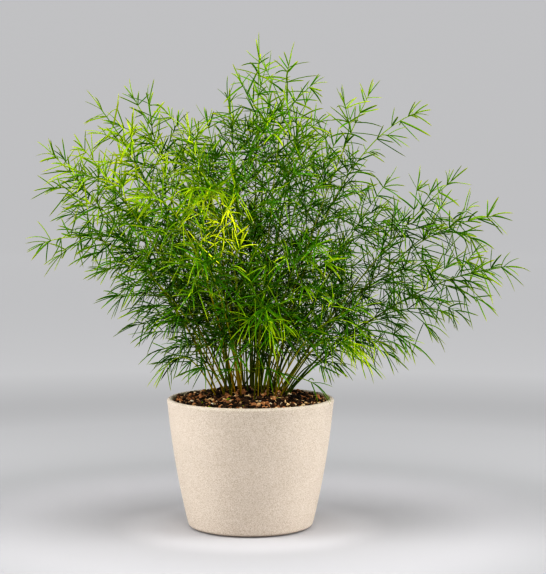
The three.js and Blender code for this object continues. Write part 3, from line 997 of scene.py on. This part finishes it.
class FERN_OT_grow_stems(bpy.types.Operator):
    """Grows every leafy stem with its twigs and needles"""

    bl_idname = "fern.grow_stems"
    bl_label = "Grow leafy stems"

    YOUNG_FROM = 0.5  # stems at least this yellow count as young foliage
    ANY_TURN = 6.3  # radians, a full turn

    # Stalks, in millimetres
    STEM_SIDES, STEM_RINGS = 7, 26
    TWIG_SIDES, TWIG_RINGS = 5, 5
    STEM_TIP = 0.35  # radius at the end
    TWIG_TIP = 0.3
    STEM_GIRTHS = (0.8, 1.15)  # the thinnest and the thickest stem beside a middling one
    THINNING = 0.8  # below 1, a stalk thins more near its foot
    GOLDEN_CURVE = 3.2  # the higher, the fewer stems are golden at the foot
    TWIG_GOLD = 0.7  # how golden a twig is beside its stem's yellow
    STEM_AGES = (0, 0.3)  # where a stem's foot lies on the ramp of stalk colours
    TWIG_AGES = (0.5, 0.8)  # and a twig's, low on its stem and at the stem's tip
    NEEDLES_FROM = 0.72  # a stem carries needles past this share of its length
    BARE_TWIG = 3.5  # length of a twig without needles
    GAP_LOSS = 0.8  # share of the twigs that a full gap takes away
    FIRST_CLUSTER = (0.1, 0.5)  # place of the first cluster on a stalk, beside their spacing

    # Slim shoots, in millimetres
    SHOOT_CIRCLE = 0.95  # they stand inside this share of the clump's radius
    SHOOT_DEPTH = 3
    SHOOT_SINK = 2
    SHOOT_SPLAY = 0.5  # how much they lean outwards, beside their distance from the middle
    SHOOT_LEAN = 32
    SHOOT_RISE = (60, 130)
    SHOOT_RADII = (0.5, 0.8)
    SHOOT_BEND = (0.3, 0.3, 0.6)  # where its bend is pulled, as shares of its lean and rise
    SHOOT_AGES = (0, 0.5)  # where its foot lies on the ramp of stalk colours
    SHOOT_BARE = (0.3, 0.6)  # share of its length without needles
    SHOOT_YELLOW = 0.1

    # Youth of the needles, which with their place gives their tint
    CROWN_YOUTH = 0.45  # at the end of a stem
    CROWN_TIP_YOUTH = 0.42  # in the brush there
    TWIG_YOUTH = (0.19, 0.07)  # on a twig low on its stem, and its spread
    UP_YOUTH = 0.22  # what that gains up to the stem's tip
    END_YOUTH = 0.12  # and towards the twig's end
    TWIG_TIP_YOUTH = (0.22, 0.2)  # in the brush of a twig, and what it gains up to the stem's tip
    SHOOT_YOUTH = 0.35
    SHOOT_TIP_YOUTH = 0.4
    SHADED_INNER_YOUTH = 0.1  # share of their youth that needles keep in the middle of the foliage, which darkens them there: partly older needles, partly painted shade
    YOUTH_CURVE = 1.2  # how suddenly they regain it towards the outside
    LOW_YOUTH = 0.8  # share that they keep at the height below
    LOW_HEIGHT = 120
    YOUTH_RISE = 150  # over this rise they regain it

    # Needles
    CLUSTERS = (2, 3, 4)  # needles that stand together
    CLUSTER_ODDS = (0.35, 0.5, 0.15)
    CLUSTER_TURN = math.radians(140)  # from cluster to cluster
    NEEDLE_TURN = math.radians(75)  # from needle to needle in a cluster
    TURN_SPREAD = 0.35  # radians
    ROLL_SPREAD = 0.5  # radians by which a needle's flat side is turned
    NEEDLE_ANGLE = (62, 15)  # middling angle from the stalk, and its spread, in degrees
    ANGLE_LIMITS = (25, 100)
    NEEDLE_LENGTHS = (0.6, 1.25)  # the shortest and the longest beside a middling one
    NEEDLE_WIDTHS = (0.85, 1.15)
    INNER_LENGTH = 0.62  # share of their length that needles have in the middle of the foliage
    END_LENGTH = 0.75  # and at a stalk's end
    END_GAIN = 0.3  # which grows by this much
    END_REACH = 18  # in this many millimetres
    GIRTHS = (0.78, 1.42)  # widths there and at the outside, beside a middling one
    BOW = (0.04, 0.1)  # middling bow as a share of the length, and its spread
    DROOP = (0.04, 0.4)  # least and most
    TINT_SPREAD = 0.06
    TINT_LIMITS = (0.01, 0.98)
    PATCH_TINT = 0.75  # what a fully yellow patch adds to the tint

    # The brush of needles at a stalk's tip
    TIP_PLACES = np.array([0, 0.5, 2, 3.5, 5])  # millimetres from the end
    TIP_ANGLES = np.array([5, 24, 36, 46, 54])
    TIP_SPREAD = 7  # of these angles, in degrees
    TIP_TURN = math.radians(137)
    TIP_LENGTHS = (0.55, 0.9)
    ACROSS = np.array([0.31, 0.12, 0.94])  # turns round a stalk are counted from the side nearest to this

    def execute(self, context):
        settings = context.scene.fern_foliage
        self.settings = settings
        self.needle = model_needle()
        self.stem_form = model_stalk(self.STEM_SIDES, self.STEM_RINGS)
        self.twig_form = model_stalk(self.TWIG_SIDES, self.TWIG_RINGS)
        green = fern_material(settings)
        for number, row in enumerate(STEMS):
            node = f"stem_{number + 1:02d}"
            name = "leafy_" + node
            stem = Stem(number, row)
            dress(self.grow(stem).build(name), name, node, green)
        name = "slim_shoots"
        dress(self.grow_shoots().build(name), name, None, green)
        return {"FINISHED"}

    def grow_shoots(self):
        """Slim young shoots that stand between the stems and cross them."""
        growth = Growth()
        rng = np.random.default_rng(SEED)
        for _ in range(self.settings.shoots):
            far = CLUMP_RADIUS * self.SHOOT_CIRCLE * math.sqrt(rng.uniform())
            way = rng.uniform(0, 2 * math.pi)
            x, y = far * math.cos(way), far * math.sin(way)
            ground = np.array([x, y, float(mound_height(x, y)) - self.SHOOT_SINK])
            lean = np.array([*rng.normal(0, self.SHOOT_LEAN, 2), rng.uniform(*self.SHOOT_RISE)])
            lean = lean + np.array([self.SHOOT_SPLAY * x, self.SHOOT_SPLAY * y, 0])
            arch = Arch(ground, ground + lean * self.SHOOT_BEND, ground + lean)
            golden = rng.uniform() ** 2
            radii = (rng.uniform(*self.SHOOT_RADII), self.TWIG_TIP)
            along = (rng.uniform(*self.SHOOT_AGES), 1)
            self.add_stalk(growth, self.stem_form, arch, -self.SHOOT_DEPTH, radii, along, golden)
            stops = self.whorls(arch.length * rng.uniform(*self.SHOOT_BARE), arch.length, rng)
            youth = np.full(len(stops), self.SHOOT_YOUTH)
            self.add_needles(growth, arch, stops, rng, youth, self.SHOOT_YELLOW)
            self.add_tip(growth, arch, rng, self.SHOOT_TIP_YOUTH, self.SHOOT_YELLOW)
        return growth

    def grow(self, stem):
        """One stem's stalk, twigs and needles."""
        growth = Growth()
        rng = np.random.default_rng(1000 * SEED + stem.number)
        length = stem.arch.length
        radii = (self.settings.stem_radius / MM * rng.uniform(*self.STEM_GIRTHS), self.STEM_TIP)
        golden = min(1, stem.yellow + rng.uniform() ** self.GOLDEN_CURVE)
        along = (rng.uniform(*self.STEM_AGES), 1)
        self.add_stalk(growth, self.stem_form, stem.arch, -FOOT_DEPTH, radii, along, golden)
        crown = self.whorls(length * self.NEEDLES_FROM, length, rng)
        self.add_needles(growth, stem.arch, crown, rng, self.CROWN_YOUTH * (crown / length) ** 2, stem.yellow)
        self.add_tip(growth, stem.arch, rng, self.CROWN_TIP_YOUTH, stem.yellow)
        for i, (share, arch) in enumerate(stem.twigs):
            if chance(stem.number, i, 2) >= self.GAP_LOSS * openness(arch.middle[None])[0]:
                self.grow_twig(growth, stem, share, arch, rng)
        return growth

    def grow_twig(self, growth, stem, share, arch, rng):
        """One twig with its needles, which are younger towards its end and higher up the stem."""
        radii = (self.settings.twig_radius / MM, self.TWIG_TIP)
        along = (between(*self.TWIG_AGES, share), 1)
        self.add_stalk(growth, self.twig_form, arch, 0, radii, along, stem.yellow * self.TWIG_GOLD)
        stops = self.whorls(self.BARE_TWIG, arch.length, rng)
        youth = rng.normal(*self.TWIG_YOUTH) + self.UP_YOUTH * share
        youth = youth + self.END_YOUTH * (stops / arch.length) ** 2
        self.add_needles(growth, arch, stops, rng, youth, stem.yellow, LOW_SHED * (1 - share))
        low_youth, gain = self.TWIG_TIP_YOUTH
        self.add_tip(growth, arch, rng, low_youth + gain * share, stem.yellow)

    def whorls(self, start, end, rng):
        """Distances of the clusters of needles along a stalk."""
        spacing = self.settings.whorl_spacing / MM
        count = max(1, int((end - start) / spacing))
        return start + (np.arange(count) + rng.uniform(*self.FIRST_CLUSTER)) * (end - start) / count

    def add_stalk(self, growth, form, arch, start, radii, along, yellow):
        """Draws the stalk form along an arch, from a distance near its start to its end."""
        x, y, z = form.points.T
        places, ways = arch.at(between(start, arch.length, z))
        level = arch.level if arch.level is not None else squared(np.array([1.0, 0, 0]), ways[0])
        up = np.cross(ways, level)
        radius = between(*radii, z**self.THINNING)[:, None]
        placed = places + radius * (x[:, None] * level + y[:, None] * up)
        growth.add(form, placed[None] * MM, between(*along, z)[None], stalk_shade(yellow, x)[None])

    def add_needles(self, growth, arch, stops, rng, youth, yellow, shed=0.0):
        """Clusters of two to four needles at each stop, turned on from cluster to cluster."""
        counts = rng.choice(self.CLUSTERS, len(stops), p=self.CLUSTER_ODDS)
        counts = np.where(rng.uniform(0, 1, len(stops)) < self.bareness(arch.at(stops)[0], shed), 0, counts)
        stops, youth = np.repeat(stops, counts), np.repeat(youth, counts)
        order = np.concatenate([np.arange(n) - (n - 1) / 2 for n in counts])
        base = np.arange(len(counts)) * self.CLUSTER_TURN + rng.uniform(0, self.ANY_TURN)
        total = len(stops)
        places, along = arch.at(stops)
        turn = np.repeat(base, counts) + order * self.NEEDLE_TURN + rng.normal(0, self.TURN_SPREAD, total)
        angle = np.radians(rng.normal(*self.NEEDLE_ANGLE, total).clip(*self.ANGLE_LIMITS))
        way = leaning(along, squared(self.ACROSS, along), turn, angle)
        ends = np.minimum(1, self.END_LENGTH + self.END_GAIN * (arch.length - stops) / self.END_REACH)
        far = how_far_out(places)
        length = self.settings.needle_length / MM * rng.uniform(*self.NEEDLE_LENGTHS, total) * ends
        length = length * between(self.INNER_LENGTH, 1, far) * (1 + HANG_STRETCH * hanging(places))
        girth = between(*self.GIRTHS, far**2)
        high = ((places[:, 2] - self.LOW_HEIGHT) / self.YOUTH_RISE).clip(0, 1)
        # Needles in the middle of the foliage get a darker tint, partly for older needles and partly as
        # painted shade where the foliage shades itself. Needles low down keep less of their youth, and so are
        # darker too.
        youth = youth * between(self.SHADED_INNER_YOUTH, 1, far**self.YOUTH_CURVE) * between(self.LOW_YOUTH, 1, high)
        self.place_needles(growth, places, way, along, length, girth, youth, yellow, rng)

    @staticmethod
    def bareness(places, shed):
        """Share of the clusters that is missing: inside, low down, in the gaps and where needles hang."""
        inside = 1 - how_far_out(places) ** 2
        shares = (inside * SHED_SHARE, lowness(places) * shed, openness(places), HANG_THIN * hanging(places))
        return np.max(shares, axis=0)

    def add_tip(self, growth, arch, rng, youth, yellow):
        """The brush of needles that a stalk ends in."""
        total = len(self.TIP_PLACES)
        places, along = arch.at(arch.length - self.TIP_PLACES)
        turn = np.arange(total) * self.TIP_TURN + rng.uniform(0, self.ANY_TURN)
        angle = np.radians(self.TIP_ANGLES + rng.normal(0, self.TIP_SPREAD, total))
        way = leaning(along, squared(self.ACROSS, along), turn, angle)
        length = self.settings.needle_length / MM * rng.uniform(*self.TIP_LENGTHS, total)
        girth, youth = np.ones(total), np.full(total, youth)
        self.place_needles(growth, places, way, along, length, girth, youth, yellow, rng)

    def place_needles(self, growth, roots, way, along, length, girth, youth, yellow, rng):
        """Copies the needle to each root, its flat side towards the end of its stalk."""
        total = len(roots)
        x, y, z = self.needle.points.T
        flat = swing(squared(along, way), way, rng.normal(0, self.ROLL_SPREAD, total))
        side = np.cross(flat, way)
        width = self.settings.needle_width / MM * girth * rng.uniform(*self.NEEDLE_WIDTHS, total)
        bow = length * rng.normal(*self.BOW, total)
        level_share = np.hypot(way[:, 0], way[:, 1])
        droop = length * rng.uniform(*self.DROOP, total) * level_share * (1 + hanging(roots))
        placed = roots[:, None] + way[:, None] * (z * length[:, None])[..., None]
        placed = placed + side[:, None] * (x * width[:, None])[..., None]
        placed = placed - flat[:, None] * (y * width[:, None])[..., None]
        placed = placed + flat[:, None] * (z * z * bow[:, None])[..., None]
        placed = placed - UP * (z * z * droop[:, None])[..., None]
        tint = youth + self.PATCH_TINT * patch_yellow(roots, yellow) + rng.normal(0, self.TINT_SPREAD, total)
        shades = needle_shade(tint.clip(*self.TINT_LIMITS)[:, None], x)
        growth.add(self.needle, placed * MM, np.tile(z, (total, 1)), shades)


class FERN_OT_set_studio(bpy.types.Operator):
    """Lays a seamless floor, hangs soft lights and sets the camera"""

    bl_idname = "fern.set_studio"
    bl_label = "Set studio"

    FLOOR_RADIUS = 4.5
    FLOOR_SIDES = 96
    INNER_RADIUS = 1.5  # radius of the floor's inner face
    SWEEP = 1.2  # radius of the curve between floor and wall
    SWEEP_STEPS = 10
    WALL_TOP = 3.5

    # name, place, width and height, and the setting that holds its power
    LIGHTS = (
        ("left light", (-1.2, -0.3, 0.75), (0.9, 1.3), "side_light"),
        ("right light", (1.2, -0.3, 0.75), (0.9, 1.3), "side_light"),
        ("top light", (0, -0.3, 1.55), (1.2, 1.2), "top_light"),
        ("front light", (0.2, -1.8, 1.2), (1.4, 1.0), "front_light"),
    )
    LIT_PLACE = (0, 0, 0.2)

    def execute(self, context):
        settings = context.scene.fern_studio
        self.lay_floor(settings)
        for name, place, size, power in self.LIGHTS:
            self.hang_light(name, place, self.LIT_PLACE, size, getattr(settings, power))
        self.light_room(context, settings)
        self.set_camera(context, settings)
        return {"FINISHED"}

    def lay_floor(self, settings):
        """A floor disc whose rim sweeps up into a round wall."""
        deselect()
        sides, radius = self.FLOOR_SIDES, self.FLOOR_RADIUS
        bpy.ops.mesh.primitive_circle_add(vertices=sides, radius=radius, fill_type="NGON")
        floor = bpy.context.object
        edit(floor)
        bpy.ops.mesh.inset(thickness=radius - self.INNER_RADIUS)
        edit(floor)
        wide, high = radius, 0.0
        for i in range(1, self.SWEEP_STEPS + 1):
            angle = math.pi / 2 * i / self.SWEEP_STEPS
            next_wide = radius + self.SWEEP * math.sin(angle)
            next_high = self.SWEEP * (1 - math.cos(angle))
            self.raise_rim(floor, wide, high, next_wide / wide, next_high - high)
            wide, high = next_wide, next_high
        self.raise_rim(floor, wide, high, 1, self.WALL_TOP - high)
        finish_edit()
        bpy.ops.object.shade_smooth_by_angle(angle=math.radians(60))
        floor.name = "studio_floor"
        floor.data.materials.append(floor_material(settings))

    @staticmethod
    def raise_rim(floor, wide, high, grow, lift):
        """Extrudes the outer rim, found by its radius and height, upwards and outwards."""
        edit(floor, lambda co: math.hypot(co.x, co.y) > wide - 0.01 and co.z > high - 0.001)
        bpy.ops.mesh.select_mode(type="EDGE")
        bpy.ops.mesh.extrude_edges_move(TRANSFORM_OT_translate={"value": (0, 0, lift)})
        bpy.ops.transform.resize(value=(grow, grow, 1), center_override=(0, 0, 0))

    @staticmethod
    def hang_light(name, place, target, size, power):
        """A soft rectangular light that faces a target and isn't seen itself."""
        bpy.ops.object.light_add(type="AREA", location=place, rotation=aim(np.subtract(target, place)))
        light = bpy.context.object
        light.name = name
        light.data.shape = "RECTANGLE"
        light.data.size, light.data.size_y = size
        light.data.energy = power
        light.visible_camera = False

    @staticmethod
    def light_room(context, settings):
        """Even pale light from all round."""
        world = bpy.data.worlds.new("room")
        world.use_nodes = True
        background = world.node_tree.nodes["Background"]
        background.inputs["Color"].default_value = (1, 1, 1, 1)
        background.inputs["Strength"].default_value = settings.surround
        context.scene.world = world

    @staticmethod
    def set_camera(context, settings):
        """The camera in front of the pot, looking a little down and to the right."""
        place = (0, -settings.distance, settings.camera_height)
        turn = (math.pi / 2 - settings.tilt, 0, -settings.turn)
        bpy.ops.object.camera_add(location=place, rotation=turn)
        camera = bpy.context.object
        camera.data.lens = settings.lens
        context.scene.camera = camera
        context.scene.view_settings.view_transform = "Standard"
        context.scene.view_settings.look = "Very High Contrast"


def aim(way):
    """The turn that points a light's -Z axis along a direction."""
    x, y, z = way
    return (math.atan2(math.hypot(x, y), -z), 0, math.atan2(y, x) - math.pi / 2)


class FERN_PT_panel(bpy.types.Panel):
    """Lists the steps that build the potted fern, with their settings"""

    bl_idname = "FERN_PT_panel"
    bl_label = "Potted fern"
    bl_space_type = "VIEW_3D"
    bl_region_type = "UI"
    bl_category = "Fern"

    def draw(self, context):
        for operators, settings in STEPS:
            box = self.layout.box()
            for operator in operators:
                box.operator(operator.bl_idname)
            group = getattr(context.scene, settings)
            for key in group.bl_rna.properties.keys():
                if key not in ("rna_type", "name"):
                    box.prop(group, key)


STEPS = (
    ((FERN_OT_cast_pot,), "fern_pot"),
    ((FERN_OT_heap_soil, FERN_OT_scatter_crumbs), "fern_soil"),
    ((FERN_OT_grow_stems,), "fern_foliage"),
    ((FERN_OT_set_studio,), "fern_studio"),
)

SETTINGS = {
    "fern_pot": FernPotSettings,
    "fern_soil": FernSoilSettings,
    "fern_foliage": FernFoliageSettings,
    "fern_studio": FernStudioSettings,
}

CLASSES = (*SETTINGS.values(), *(step for steps, _ in STEPS for step in steps), FERN_PT_panel)


def register():
    """Makes the settings, steps and panel available."""
    for cls in CLASSES:
        bpy.utils.register_class(cls)
    for name, group in SETTINGS.items():
        setattr(bpy.types.Scene, name, PointerProperty(type=group))


def unregister():
    """Takes them away again."""
    for name in SETTINGS:
        delattr(bpy.types.Scene, name)
    for cls in reversed(CLASSES):
        bpy.utils.unregister_class(cls)


def main():
    """Builds the whole picture."""
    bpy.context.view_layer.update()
    register()
    for steps, _ in STEPS:
        for step in steps:
            group, name = step.bl_idname.split(".")
            getattr(getattr(bpy.ops, group), name)()


if __name__ == "__main__":
    main()
